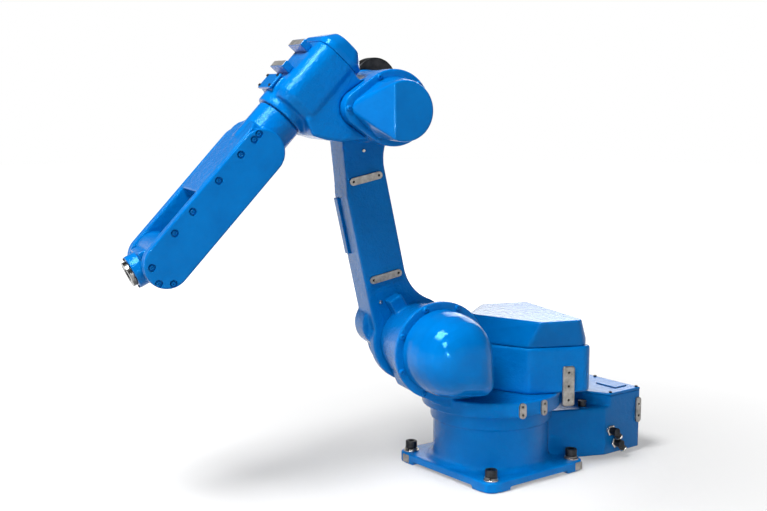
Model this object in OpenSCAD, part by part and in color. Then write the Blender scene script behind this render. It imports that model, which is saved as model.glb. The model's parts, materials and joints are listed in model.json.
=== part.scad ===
// Compact six-axis industrial robot arm with sealed, rounded drive housings.
// Origin: centre of the base underside, on the swivel axis. +Z up, +X to the front of the foot plate.

/* [Base] */
// Length of the foot plate, front to back
foot_length = 180; // [170:1:220]
// Width of the foot plate, side to side
foot_width = 195; // [185:1:240]
// Thickness of the foot plate
foot_thick = 14; // [10:1:24]
// Corner radius of the foot plate
foot_corner_r = 17; // [10:1:22]
// Anchor bolt spacing, front to back
anchor_pitch_x = 150; // [140:1:156]
// Anchor bolt spacing, side to side
anchor_pitch_y = 165; // [155:1:171]
// Diameter of the anchor bolt holes
anchor_hole_d = 11; // [9:0.5:14]
// Height of the relief under the edges of the foot plate
foot_relief = 4; // [2:0.5:6]
// Radius of the column
column_r = 80; // [72:1:82]
// Radius of the collar that carries the swivel bearing
collar_r = 84; // [82:1:90]
// Height of the base up to the swivel joint
base_height = 91; // [84:1:92]
// Height of the collar
collar_height = 19; // [10:1:26]
// Rear end of the connector box, measured from the swivel axis
box_back = 216; // [200:1:240]
// Front of the straight sides of the connector box, measured from the swivel axis
box_front = 152; // [148:1:170]
// Front wall of the connector box, measured from the swivel axis
box_nose = 134; // [130:1:144]
// Half width of the front wall of the connector box
box_nose_half_w = 46; // [40:1:60]
// Half width of the connector box
box_half_w = 83; // [70:1:90]
// Gap between the connector box and the floor
box_floor_gap = 6; // [2:0.5:12]
// Height of the low rear deck behind the column
deck_height = 76; // [66:1:80]
// Rise of the connector box above the deck
box_rise = 14; // [10:1:16]
// Half width of the deck where it leaves the column
deck_root_half_w = 43; // [36:1:50]
// Thickness of the connector box lid
box_lid_thick = 4; // [2:0.5:6]
// Radius of the stop on the deck
stop_r = 6; // [4:0.5:8]
// Height of the stop on the deck
stop_height = 8; // [5:0.5:10]
// Radius of an air fitting
fitting_r = 5.5; // [4:0.5:7]
// Reach of an air fitting out of the box wall
fitting_reach = 9; // [7:0.5:14]
// Length of the angled leg of an air fitting
fitting_leg = 14; // [10:0.5:18]

/* [Swivel] */
// Running gap between pieces that turn against each other
joint_gap = 0.3; // [0.2:0.05:0.6]
// Turn of the arm about the swivel axis at rest, in degrees
swivel_rest = -14; // [-40:1:40]
// Radius of the swivel flange
swivel_r = 96; // [92:1:98]
// Height of the swivel flange
swivel_flange_h = 21; // [16:1:24]
// Height of the swivel motor housing above the flange
motor_housing_h = 64; // [56:1:70]
// Height of the motor housing lid
motor_lid_h = 37; // [25:1:40]
// Height of the upright band at the foot of the motor housing lid
motor_lid_band = 9; // [5:1:14]
// Corner radius of the top of the motor housing lid
motor_round = 9; // [6:1:12]
// Corner radius of the walls of the motor housing
housing_round = 22; // [16:1:24]
// Height of the three-hole bracket plate
plate_height = 55; // [48:1:60]
// Width of the three-hole bracket plate
plate_width = 17; // [14:1:20]
// Height of the cast boss under a flange pad
pad_boss = 1; // [0.5:0.5:2]
// Place of the front flange pad about the swivel axis, in degrees
pad_front_turn = 86; // [80:1:92]
// Place of the rear flange pad about the swivel axis, in degrees
pad_rear_turn = 106.5; // [100:0.5:112]

/* [Shoulder] */
// Shoulder axis in front of the swivel axis
shoulder_x = 105; // [102:1:112]
// Shoulder axis above the floor
shoulder_z = 182; // [178:1:195]
// Radius of the shoulder drive barrel at the arm
barrel_r = 50; // [46:1:54]
// Radius of the shoulder drive barrel at its rim
barrel_rim_r = 60; // [56:1:62]
// Radius of the shoulder rim
rim_r = 65; // [63:1:68]
// Outer face of the shoulder rim, measured from the arm's middle plane
rim_y = 54; // [50:1:60]
// Thickness of the shoulder rim
rim_thick = 8; // [5:1:12]
// Radius of the domed shoulder cover at the rim
dome_r = 56; // [52:1:60]
// Reach of the domed shoulder cover beyond its rim
dome_reach = 72; // [55:1:80]
// Radius of the rear lower corner of the shoulder cover
corner_r = 15; // [10:1:20]
// Width of the stop lug on the shoulder barrel
lug_width = 20; // [14:1:24]
// Height of the stop lug above the barrel
lug_height = 22; // [14:1:26]
// Turn of the stop lug from upright
lug_turn = 30; // [20:1:40]

/* [Lower arm] */
// Shoulder axis to elbow axis
link_length = 322.5; // [310:0.5:335]
// Forward lean of the lower arm at rest, in degrees
link_lean = 12.2; // [5:0.1:20]
// Face of the lower arm next to the drives, measured from the middle plane
link_face_y = 30; // [28:0.5:34]
// Thickness of the lower arm
link_thick = 48; // [40:1:54]
// Thickness of the round flange at the lower end of the arm
link_flange = 15; // [10:1:20]
// Radius of the lower end of the arm
link_low_r = 59; // [54:1:62]
// Radius of the upper end of the arm
link_top_r = 48; // [44:1:49]
// Front edge of the beam, measured from the line between the two axes
beam_front = 52.5; // [48:0.5:54]
// Rear edge of the beam, measured behind the line between the two axes
beam_back = 8; // [5:1:14]
// Radius of the flares behind the beam
flare_r = 60; // [50:1:80]
// Radius of the bulge at the front of the lower end
bulge_r = 32; // [26:1:34]
// Thickness of the front cover strip
strip_thick = 3; // [2:0.5:4]
// Length of the front cover strip
strip_length = 78; // [60:1:100]
// Length of a bare steel accessory pad
pad_length = 47; // [40:1:52]
// Width of a bare steel accessory pad
pad_width = 10; // [8:0.5:12]
// Thickness of a bare steel accessory pad
pad_thick = 3; // [2:0.5:4]
// Diameter of the tapped holes in the accessory pads
pad_hole_d = 3.3; // [2.5:0.1:4.2]
// Radius of the cap on the far side of the elbow
cap_r = 30; // [24:1:34]

/* [Elbow] */
// Distance of the forearm axis from the elbow axis
elbow_offset = 88.5; // [87:0.5:96]
// Elbow axis to the front ring, along the forearm
elbow_to_ring = 97.7; // [92:0.1:106]
// Downward pitch of the forearm at rest, in degrees
forearm_pitch = 47.4; // [20:0.1:50]
// Half width of the elbow housing
elbow_half_w = 46; // [40:0.5:47]
// Half height of the elbow housing
elbow_half_h = 32; // [30:0.5:33]
// Corner radius of the elbow housing
elbow_round = 20; // [14:1:24]
// Length of the elbow housing behind its front ring
elbow_length = 98; // [92:1:106]
// Length of the chamfered front of the elbow housing
taper_length = 10; // [6:1:16]
// Depth of the bevelled rear lid
elbow_lid_depth = 24; // [18:1:30]
// Radius of the front ring
ring_r = 34; // [32:0.5:36]
// Depth of the front ring
ring_depth = 12; // [8:1:14]
// Radius of the elbow drive boss
boss_r = 47; // [44:1:49]
// Inner face of the elbow drive rim, measured from the middle plane
drive_y = 36; // [32:1:42]
// Thickness of the elbow drive rim
drive_rim = 23; // [16:1:26]
// Reach of the tapered drive cover beyond its rim
drive_reach = 55; // [46:1:62]
// Height of the two machined seats above the elbow housing
seat_height = 13; // [10:1:18]
// Length of a machined seat along the elbow housing
seat_length = 10; // [8:1:14]
// Width of a machined seat across the elbow housing
seat_width = 46; // [36:1:50]
// Thickness of the hatch plate on the elbow housing
hatch_thick = 3.5; // [2.5:0.5:5]
// Length of the hatch plate along the elbow housing
hatch_length = 23; // [18:1:26]
// Width of the hatch plate across the elbow housing
hatch_width = 46; // [36:1:50]
// Front ring to the middle of the hatch plate
hatch_back = 26.5; // [24:0.5:30]
// Inset of the drive cover from its rim
drive_inset = 9; // [6:0.5:11]

/* [Forearm] */
// Front ring to the wrist bend axis
wrist_distance = 224; // [215:1:235]
// Half height of the forearm, the end radius of its side covers
forearm_half_h = 28.5; // [27:0.5:30]
// Half width of the forearm across its side covers
forearm_half_w = 47; // [44:0.5:50]
// Thickness of a forearm side cover
forearm_cover = 8; // [6:0.5:10]
// Half width of the slot that takes the wrist
slot_half_w = 31; // [29:0.5:33]
// Radius of the neck behind the forearm covers
neck_r = 30; // [28:0.5:31]
// Front ring to the rear round end of the side covers
cover_start = 55; // [52:1:60]
// Reach of the side covers' front round end beyond the wrist bend axis
cover_over = 7; // [4:1:12]
// Front ring to the closed end of the wrist slot
slot_start = 142; // [134:1:150]

/* [Wrist] */
// Upward bend of the wrist at rest, in degrees
wrist_bend = 21.4; // [0:0.1:30]
// Radius of the wrist barrel
wrist_barrel_r = 27; // [24:0.5:28]
// Radius of the nose ring that carries the tool flange
nose_r = 21; // [18:0.5:22]
// Length of the nose ring
nose_ring = 14; // [10:0.5:16]
// Wrist bend axis to the end of the nose
wrist_nose = 42; // [40:1:48]
// Diameter of the tool flange
tool_flange_d = 31.5; // [30:0.5:34]
// Thickness of the tool flange
tool_flange_t = 5; // [4:0.5:8]
// Bolt circle of the tool flange
tool_pcd = 25; // [24:0.5:26]
// Diameter of the tapped tool holes
tool_hole_d = 3.3; // [2.5:0.1:4.2]
// Diameter of the pilot bore in the tool flange
tool_pilot_d = 16; // [12:0.5:17]

/* [Hidden] */
$fn = 96;
round_fn = 32;
overrun = 1;

paint = "#0b74c9";
paint_light = "#1f8ee0";
bare_steel = "#a8a49c";
dark_steel = "#303236";

box_height = deck_height + box_rise;
swivel_bottom = base_height + joint_gap;
swivel_top = swivel_bottom + swivel_flange_h;
seam_z = swivel_top + motor_housing_h;
pad_hole_pitch = pad_length - pad_width;
body_half_w = forearm_half_w - forearm_cover;
barrel_low_y = -link_face_y + joint_gap;

// Frames that follow the joints from the base to the tool
module turned() rotate([0, 0, swivel_rest]) children();
module at_shoulder() turned() translate([shoulder_x, 0, shoulder_z]) children();
module in_link() at_shoulder() rotate([0, link_lean, 0]) children();
module at_elbow() in_link() translate([0, 0, link_length]) rotate([0, -link_lean, 0]) children();
module in_drive() at_elbow() rotate([0, 90 + forearm_pitch, 0]) children();
module in_forearm() in_drive() translate([-elbow_offset, 0, elbow_to_ring]) children();
module at_wrist() in_forearm() translate([0, 0, wrist_distance]) children();
module in_tool() at_wrist() rotate([0, -wrist_bend, 0]) children();

// A cylinder or an outline carried along Y between two planes
module disc_y(r, y0, y1) translate([0, y0, 0]) rotate([-90, 0, 0]) cylinder(r = r, h = y1 - y0);
module slab_y(y0, y1) translate([0, y1, 0]) rotate([90, 0, 0]) linear_extrude(y1 - y0) children();

// A block whose near corner is at p
module block(p, size) translate(p) cube(size);

// A rectangle with round corners, centred
module soft_rect(size, r) {
    square([size.x - 2 * r, size.y], center = true);
    square([size.x, size.y - 2 * r], center = true);
    for (x = [-1, 1], y = [-1, 1])
        translate([x * (size.x / 2 - r), y * (size.y / 2 - r)]) circle(r);
}

// A polygon whose corners are rounded, as one convex outline
module soft_outline(points, r)
    hull() for (p = points) translate(p) circle(r, $fn = round_fn);

// A round end with a smaller round corner reaching out of it, as one convex outline
module drop_outline(r, corner, corner_r)
    hull() {
        circle(r, $fn = 2 * round_fn);
        translate(corner) circle(corner_r, $fn = round_fn);
    }

// A flat bar with round ends and a tapped hole at each end, lying in XY
module steel_pad(length, width, thick, hole_pitch)
    difference() {
        union() {
            block([-(length - width) / 2, -width / 2, 0], [length - width, width, thick]);
            for (x = [-1, 1]) translate([x * (length - width) / 2, 0, 0]) cylinder(d = width, h = thick);
        }
        for (x = [-1, 1])
            translate([x * hole_pitch / 2, 0, -overrun])
                cylinder(d = pad_hole_d, h = thick + 2 * overrun);
    }

// Base
module box_outline()
    polygon([
        [-box_back, -box_half_w], [-box_front, -box_half_w], [-box_nose, -box_nose_half_w],
        [-box_nose, box_nose_half_w], [-box_front, box_half_w], [-box_back, box_half_w]
    ]);

// The deck widens from the back of the column to the connector box
deck_root_share = 0.6;
module deck_outline() {
    root = -column_r * deck_root_share;
    corner = -(box_front + box_nose) / 2;
    polygon([
        [0, -deck_root_half_w], [root, -deck_root_half_w], [corner, -box_half_w], [-box_back, -box_half_w],
        [-box_back, box_half_w], [corner, box_half_w], [root, deck_root_half_w], [0, deck_root_half_w]
    ]);
}

module base_casting() color(paint) difference() {
    union() {
        linear_extrude(foot_thick) soft_rect([foot_length, foot_width], foot_corner_r);
        cylinder(r = column_r, h = base_height);
        translate([0, 0, base_height - collar_height]) cylinder(r = collar_r, h = collar_height);
        translate([0, 0, box_floor_gap]) linear_extrude(deck_height - box_floor_gap) deck_outline();
        translate([0, 0, box_floor_gap]) linear_extrude(box_height - box_floor_gap) box_outline();
    }
    for (x = [-1, 1], y = [-1, 1])
        translate([x * anchor_pitch_x / 2, y * anchor_pitch_y / 2, -overrun])
            cylinder(d = anchor_hole_d, h = foot_thick + 2 * overrun);
    foot_reliefs();
}

// Shallow reliefs under the middle of each edge, so that the plate bears on its corners
module foot_reliefs() {
    relief_x = anchor_pitch_x - 3 * foot_thick;
    relief_y = anchor_pitch_y - 3 * foot_thick;
    depth = 2 * foot_thick;
    for (s = [-1, 1]) {
        block(
            [-relief_x / 2, s * foot_width / 2 - depth, -overrun],
            [relief_x, 2 * depth, foot_relief + overrun]
        );
        block(
            [s * foot_length / 2 - depth, -relief_y / 2, -overrun],
            [2 * depth, relief_y, foot_relief + overrun]
        );
    }
}

module connector_box_lid() color(paint_light)
    translate([0, 0, box_height]) linear_extrude(box_lid_thick) box_outline();

module deck_stop() color(dark_steel)
    translate([-box_nose + 2 * stop_r, box_nose_half_w + 2 * stop_r, deck_height])
        cylinder(r = stop_r, h = stop_height);

module rear_side_pad() color(bare_steel)
    translate([-box_back + pad_width / 2, box_half_w, box_height - pad_width - pad_hole_pitch / 2])
        rotate([-90, 0, 0]) rotate([0, 0, 90])
            steel_pad(pad_hole_pitch, pad_width, pad_thick, pad_hole_pitch - 2 * pad_width);

// An angled push-in fitting on the side wall of the connector box
module air_fitting(x, z, lean) color(dark_steel)
    translate([x, box_half_w, z]) {
        disc_y(fitting_r, 0, fitting_reach + fitting_r);
        translate([0, fitting_reach, 0]) rotate([0, 180 + lean, 0])
            cylinder(r = fitting_r - overrun, h = fitting_leg);
    }

fitting_lean = 45;
module air_fitting_upper() air_fitting(-box_front - overrun, deck_height / 2 + pad_thick, fitting_lean);
module air_fitting_lower() air_fitting(-box_front - 2 * fitting_r, deck_height / 4 + pad_thick, fitting_lean);

// Swivel
motor_plan_shares = [
    [0.31, -0.20], [-0.30, 0.67], [-1.18, 0.86], [-1.18, -0.82], [-0.38, -0.98], [0.25, -0.39]
];
motor_top_shares = [
    [0.16, -0.15], [-0.43, 0.81], [-0.98, 0.87], [-0.98, -0.67], [-0.33, -0.76], [0.16, -0.21]
];
motor_size = swivel_r - motor_round;
lid_share = 0.955;

module motor_outline(shares, round)
    offset(r = round - motor_round, $fn = 2 * round_fn) offset(delta = motor_round - round)
        soft_outline(shares * motor_size, motor_round);

module swivel_casting() color(paint) turned() {
    translate([0, 0, swivel_bottom]) cylinder(r = swivel_r, h = swivel_flange_h);
    translate([shoulder_x, barrel_low_y, shoulder_z]) rotate([-90, 0, 0])
        cylinder(r1 = barrel_r, r2 = barrel_rim_r, h = rim_y - rim_thick - barrel_low_y);
    shoulder_riser();
    for (a = [pad_front_turn, pad_rear_turn]) pad_boss_block(a);
    stop_lug();
}

// The lug beside the link on which the arm comes to its stop
module stop_lug()
    translate([shoulder_x, 0, shoulder_z]) rotate([0, lug_turn, 0])
        block(
            [-lug_width / 2, barrel_low_y, barrel_r - corner_r],
            [lug_width, lug_width, corner_r + lug_height]
        );

// The block that carries the shoulder barrel down to the flange, clear of the motor housing
riser_share = 0.72;
module shoulder_riser() {
    back = shoulder_x - barrel_r - motor_round;
    slab_y(barrel_low_y, rim_y - rim_thick)
        polygon([
            [back, swivel_top - swivel_flange_h / 2],
            [swivel_r * riser_share, swivel_top - swivel_flange_h / 2],
            [swivel_r, swivel_top - motor_round], [shoulder_x + barrel_r / 2, shoulder_z - barrel_rim_r],
            [shoulder_x + barrel_r * riser_share, shoulder_z - barrel_r * riser_share],
            [shoulder_x, shoulder_z], [back, shoulder_z]
        ]);
}

module motor_housing() color(paint) turned()
    translate([0, 0, swivel_top]) linear_extrude(motor_housing_h)
        motor_outline(motor_plan_shares, housing_round);

module motor_housing_lid() color(paint_light) turned()
    hull() {
        translate([0, 0, seam_z]) linear_extrude(motor_lid_band)
            motor_outline(motor_plan_shares * lid_share, housing_round);
        translate([0, 0, seam_z + motor_lid_h - overrun]) linear_extrude(overrun)
            soft_outline(motor_top_shares * motor_size, motor_round);
    }

// The drop-shaped rim behind the shoulder cover, and the bulging cover on it
drop_corner_shares = [-0.77, -0.79];
drop_corner = drop_corner_shares * dome_r;
dome_shift_shares = [-0.14, -0.09];
dome_shares = [
    [0, 1], [0.30, 0.985], [0.52, 0.945], [0.70, 0.865], [0.82, 0.765], [0.91, 0.63], [0.97, 0.47], [1, 0.28]
];

module shoulder_rim() color(paint) at_shoulder()
    slab_y(rim_y - rim_thick, rim_y) drop_outline(rim_r, drop_corner, corner_r + rim_r - dome_r);

module shoulder_cover() color(paint_light) at_shoulder()
    hull() for (s = dome_shares)
        translate([dome_shift_shares.x, 0, dome_shift_shares.y] * dome_r * (1 - s[1]))
            slab_y(rim_y, rim_y + max(overrun, dome_reach * s[0]))
                scale(s[1]) drop_outline(dome_r, drop_corner, corner_r);

// Small upright pads on flat bosses around the swivel flange
module pad_boss_block(azimuth) rotate([0, 0, azimuth])
    block(
        [swivel_r - pad_width, -pad_width / 2 - pad_boss, swivel_bottom],
        [pad_width + pad_boss, pad_width + 2 * pad_boss, swivel_flange_h]
    );

module swivel_pad(azimuth) color(bare_steel) turned() rotate([0, 0, azimuth])
    translate([swivel_r + pad_boss, 0, swivel_bottom + swivel_flange_h / 2]) rotate([0, 90, 0])
        steel_pad(swivel_flange_h, pad_width, pad_thick, swivel_flange_h - pad_width);

module swivel_pad_front() swivel_pad(pad_front_turn);
module swivel_pad_rear() swivel_pad(pad_rear_turn);

// The upright plate with three tapped holes on the near wall of the motor housing
plate_hole_pitch = (plate_height - plate_width) / 2;
module swivel_plate() color(bare_steel) turned() {
    wall_from = motor_plan_shares[2] * motor_size;
    wall_to = motor_plan_shares[1] * motor_size;
    translate([wall_from.x, wall_from.y, swivel_top - plate_width - joint_gap])
        rotate([0, 0, atan2(wall_to.y - wall_from.y, wall_to.x - wall_from.x)])
            translate([plate_width + motor_round, motor_round, 0]) difference() {
                block([-plate_width / 2, 0, 0], [plate_width, pad_thick, plate_height]);
                for (i = [0:2])
                    translate([0, 0, plate_width / 2 + i * plate_hole_pitch])
                        disc_y(pad_hole_d / 2, -overrun, pad_thick + overrun);
            }
}

// Lower arm
function flare_z(end_r) = sqrt(pow(end_r + flare_r, 2) - pow(flare_r + beam_back, 2));

// A concave flare that blends the rear edge of the beam into a round end
module rear_flare(end_r)
    difference() {
        polygon([[beam_back, 0], [-beam_back - flare_r, flare_z(end_r)], [beam_back, flare_z(end_r)]]);
        translate([-beam_back - flare_r, flare_z(end_r)]) circle(flare_r);
    }

beam_shares = [[1, 0.09], [1, 0.66], [0.94, 0.72], [0.82, 0.90], [0.62, 1]];
bulge_shares = [0.59, 0.53];
strip_share = 0.65;
module beam_outline()
    polygon(concat(
        [[-beam_back, link_length], [-beam_back, 0]],
        [for (s = beam_shares) [beam_front * s.x, link_length * s.y]]
    ));

module lower_arm_outline(low_r) {
    circle(low_r);
    translate([0, link_length]) circle(link_top_r);
    beam_outline();
    rear_flare(low_r);
    translate([0, link_length]) mirror([0, 1]) rear_flare(link_top_r);
}

module lower_arm() color(paint) in_link() {
    slab_y(-link_face_y - link_flange, -link_face_y) lower_arm_outline(link_low_r);
    slab_y(-link_face_y - link_thick, -link_face_y - link_flange) {
        lower_arm_outline(barrel_r);
        translate(bulge_shares * beam_front) circle(bulge_r);
    }
}

module arm_front_strip() color(paint_light) in_link()
    block(
        [beam_front, -link_face_y - link_thick + strip_thick, link_length * strip_share - strip_length],
        [strip_thick, link_thick / 4, strip_length]
    );

module arm_pad(z) color(bare_steel) in_link()
    translate([(beam_front - beam_back) / 2, -link_face_y, z]) rotate([-90, 0, 0])
        steel_pad(pad_length, pad_width, pad_thick, pad_hole_pitch);

module arm_pad_upper() arm_pad(link_length - 2 * boss_r + pad_thick);
module arm_pad_lower() arm_pad(link_low_r + pad_hole_pitch);

// The rounded cap on the outside of the upper end
cap_shares = [-0.75, 1.15];
module arm_top_cap() color(paint) at_elbow()
    difference() {
        translate([cap_shares.x * cap_r, 0, cap_shares.y * cap_r])
            disc_y(cap_r, -link_face_y - link_thick + strip_thick, -link_face_y - link_thick / 2);
        disc_y(link_top_r, -link_face_y - link_thick, -link_face_y);
    }

// Elbow
module elbow_section(inset = 0)
    soft_rect([2 * (elbow_half_h - inset), 2 * (elbow_half_w - inset)], elbow_round - inset / 2);

module elbow_casting() color(paint) {
    in_forearm() {
        elbow_housing();
        translate([0, 0, -ring_depth - 2 * overrun]) cylinder(r = ring_r, h = ring_depth + 2 * overrun);
        hatch_base();
    }
    at_elbow() rotate([0, forearm_pitch, 0]) disc_y(boss_r, barrel_low_y, drive_y);
    elbow_web();
}

// The housing with its chamfered front, which the ring stands on
module elbow_housing()
    hull() {
        translate([0, 0, -elbow_length])
            linear_extrude(elbow_length - ring_depth - taper_length) elbow_section($fn = 2 * round_fn);
        translate([0, 0, -ring_depth - overrun])
            linear_extrude(overrun) elbow_section(taper_length / 2, $fn = 2 * round_fn);
    }

// The web that joins the housing to the drive boss; its front edge slants back under the ring
web_shares = [
    [0.60, 0.97], [0.40, 0.88], [0.21, 0.76], [-0.05, 0.48], [-0.05, -0.35], [0.45, -0.20], [0.60, 0.02]
];
module web_outline()
    polygon(concat(
        [for (z = [joint_gap, elbow_to_ring - ring_depth]) [-elbow_offset + elbow_half_h / 2, z]],
        [for (s = web_shares) [-elbow_offset * s.x, elbow_to_ring * s.y]]
    ));

module elbow_web() in_drive() {
    slab_y(-link_face_y + 2 * pad_thick, drive_y) web_outline();
    slab_y(drive_y, elbow_half_w - 2 * overrun) difference() {
        web_outline();
        rotate(90 + forearm_pitch)
            drop_outline(link_top_r + joint_gap, drive_corner, drive_corner_r + joint_gap);
    }
}

// The hatch, its raised base and the two machined seats on the upper side
hatch_top = elbow_half_h + hatch_thick;

module hatch_block(x0, x1, inset)
    block(
        [-x1, -2 * hatch_thick - hatch_width / 2 + inset, -hatch_back - hatch_length / 2 + inset],
        [x1 - x0, hatch_width - 2 * inset, hatch_length - 2 * inset]
    );

module hatch_base() hatch_block(elbow_half_h / 2, hatch_top, overrun);
module elbow_hatch() color(paint_light) in_forearm() hatch_block(hatch_top, hatch_top + hatch_thick, 0);

module elbow_seat(s) color(paint) in_forearm()
    block(
        [-elbow_half_h - seat_height, -hatch_thick - seat_width / 2, s - seat_length / 2],
        [seat_height, seat_width, seat_length]
    );

module elbow_seat_front() elbow_seat(-hatch_back - hatch_length);
module elbow_seat_rear() elbow_seat(-elbow_length + seat_height);

module elbow_rear_lid() color(paint_light) in_forearm()
    hull() {
        translate([0, 0, -elbow_length - elbow_lid_depth / 3])
            linear_extrude(elbow_lid_depth / 3) elbow_section($fn = 2 * round_fn);
        translate([0, 0, -elbow_length - elbow_lid_depth])
            linear_extrude(overrun) elbow_section(elbow_lid_depth / 2, $fn = 2 * round_fn);
    }

// The drop-shaped rim of the elbow drive and the tapered cover on it
drive_corner_share = 0.92;
drive_round_share = 0.48;
drive_corner = [link_top_r * drive_corner_share, 0];
drive_corner_r = link_top_r * drive_round_share;

module elbow_drive_rim() color(paint) at_elbow()
    slab_y(drive_y, drive_y + drive_rim) drop_outline(link_top_r, drive_corner, drive_corner_r);

// The end face of the drive cover, a disc set forward with its front edge cut straight
drive_face_shares = [0.23, -0.06];
drive_face_r_share = 0.77;
drive_flat_share = 0.53;
module drive_face()
    intersection() {
        translate(drive_face_shares * link_top_r) circle(link_top_r * drive_face_r_share, $fn = 2 * round_fn);
        translate([(drive_flat_share - 2) * link_top_r, -link_top_r]) square(2 * link_top_r);
    }

module elbow_drive_cover() color(paint_light) at_elbow()
    hull() {
        slab_y(drive_y + drive_rim, drive_y + drive_rim + overrun)
            drop_outline(link_top_r - drive_inset, drive_corner, drive_corner_r - drive_inset);
        slab_y(drive_y + drive_rim, drive_y + drive_rim + drive_reach) drive_face();
    }

// Forearm
module forearm_pill(y0, y1) {
    translate([0, 0, cover_start]) disc_y(forearm_half_h, y0, y1);
    translate([0, 0, wrist_distance + cover_over]) disc_y(forearm_half_h, y0, y1);
    block(
        [-forearm_half_h, y0, cover_start],
        [2 * forearm_half_h, y1 - y0, wrist_distance + cover_over - cover_start]
    );
}

// The upper end of the fork, which reaches over the neck with rounded corners
fork_end_shares = [
    [1, 1], [0.73, 1], [0.60, 0.77], [0.52, 0.25], [0.52, -0.25], [0.60, -0.77], [0.73, -1], [1, -1]
];
module fork_end()
    rotate([0, -90, 0]) linear_extrude(forearm_half_h)
        polygon([for (q = fork_end_shares) [cover_start * q.x, body_half_w * q.y]]);

module forearm_fork() color(paint) in_forearm() difference() {
    union() {
        forearm_pill(-body_half_w, body_half_w);
        translate([0, 0, joint_gap]) cylinder(r = neck_r, h = cover_start);
        fork_end();
    }
    block(
        [-neck_r - overrun, -slot_half_w, slot_start],
        [2 * neck_r + 2 * overrun, 2 * slot_half_w, wrist_distance]
    );
}

module forearm_cover_left() color(paint_light) in_forearm() forearm_pill(body_half_w, forearm_half_w);
module forearm_cover_right() color(paint_light) in_forearm() forearm_pill(-forearm_half_w, -body_half_w);

// Wrist
module wrist_barrel() color(paint) {
    at_wrist() disc_y(wrist_barrel_r, -slot_half_w + joint_gap, slot_half_w - joint_gap);
    in_tool() {
        cylinder(r = tool_flange_d / 2, h = wrist_nose);
        block([-nose_r, -nose_r, 0], [2 * nose_r, 2 * nose_r, wrist_nose - nose_ring]);
        translate([0, 0, wrist_nose - nose_ring]) cylinder(r = nose_r, h = nose_ring);
    }
}

module tool_flange() color(bare_steel) in_tool()
    translate([0, 0, wrist_nose + joint_gap]) difference() {
        cylinder(d = tool_flange_d, h = tool_flange_t);
        translate([0, 0, -overrun]) cylinder(d = tool_pilot_d, h = tool_flange_t + 2 * overrun);
        for (a = [45:90:315]) rotate([0, 0, a]) translate([tool_pcd / 2, 0, -overrun])
            cylinder(d = tool_hole_d, h = tool_flange_t + 2 * overrun);
    }

base_casting();
connector_box_lid();
deck_stop();
rear_side_pad();
air_fitting_upper();
air_fitting_lower();
swivel_casting();
motor_housing();
motor_housing_lid();
shoulder_rim();
shoulder_cover();
swivel_pad_front();
swivel_pad_rear();
swivel_plate();
lower_arm();
arm_front_strip();
arm_pad_upper();
arm_pad_lower();
arm_top_cap();
elbow_casting();
elbow_rear_lid();
elbow_drive_rim();
elbow_drive_cover();
elbow_hatch();
elbow_seat_front();
elbow_seat_rear();
forearm_fork();
forearm_cover_left();
forearm_cover_right();
wrist_barrel();
tool_flange();
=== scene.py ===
import json
import math
import bmesh
import bpy
from mathutils import Matrix, Vector

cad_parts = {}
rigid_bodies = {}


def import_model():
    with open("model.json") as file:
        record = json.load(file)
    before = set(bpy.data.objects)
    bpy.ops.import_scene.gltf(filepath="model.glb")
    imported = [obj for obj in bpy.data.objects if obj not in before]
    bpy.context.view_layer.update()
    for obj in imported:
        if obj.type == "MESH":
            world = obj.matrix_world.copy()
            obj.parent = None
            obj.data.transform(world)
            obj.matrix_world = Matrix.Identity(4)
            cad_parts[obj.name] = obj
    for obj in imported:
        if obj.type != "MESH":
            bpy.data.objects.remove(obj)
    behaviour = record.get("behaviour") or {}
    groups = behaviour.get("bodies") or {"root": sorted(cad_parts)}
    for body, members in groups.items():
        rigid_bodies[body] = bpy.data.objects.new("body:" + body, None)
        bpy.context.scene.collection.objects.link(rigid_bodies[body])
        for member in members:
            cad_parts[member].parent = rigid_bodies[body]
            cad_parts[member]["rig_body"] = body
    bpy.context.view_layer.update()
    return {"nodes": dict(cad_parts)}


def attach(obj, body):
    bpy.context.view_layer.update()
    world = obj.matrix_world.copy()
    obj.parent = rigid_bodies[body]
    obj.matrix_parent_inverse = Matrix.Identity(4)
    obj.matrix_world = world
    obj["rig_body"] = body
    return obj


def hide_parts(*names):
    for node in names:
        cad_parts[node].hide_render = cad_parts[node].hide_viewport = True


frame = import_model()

# Studio. A white floor and horizon under a large softbox overhead, with a weaker one behind. Two narrow
# lamps near the camera put the highlights on the paint, and a small one lifts the front of the foot.
# The ceiling falls off to grey, and the floor stays white and keeps a soft shadow.
WHITE = (1, 1, 1, 1)
scene = bpy.context.scene
scene.view_settings.view_transform = "Standard"


def new_material(name):
    material = bpy.data.materials.new(name)
    material.use_nodes = True
    tree = material.node_tree
    tree.nodes.clear()
    return material, tree


def add_node(tree, kind, place=None, **settings):
    # a node with its settings, and with the values of its own sockets
    node = tree.nodes.new(kind)
    for key, value in settings.items():
        setattr(node, key, value)
    for key, value in (place or {}).items():
        node.inputs[key].default_value = value
    return node


def seen_directly(tree):
    # 1 for rays from the camera and for what gloss and glass show, else 0
    path = add_node(tree, "ShaderNodeLightPath")
    first = add_node(tree, "ShaderNodeMath", operation="MAXIMUM")
    second = add_node(tree, "ShaderNodeMath", operation="MAXIMUM")
    tree.links.new(path.outputs["Is Camera Ray"], first.inputs[0])
    tree.links.new(path.outputs["Is Glossy Ray"], first.inputs[1])
    tree.links.new(first.outputs[0], second.inputs[0])
    tree.links.new(path.outputs["Is Transmission Ray"], second.inputs[1])
    return second.outputs[0]


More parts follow.
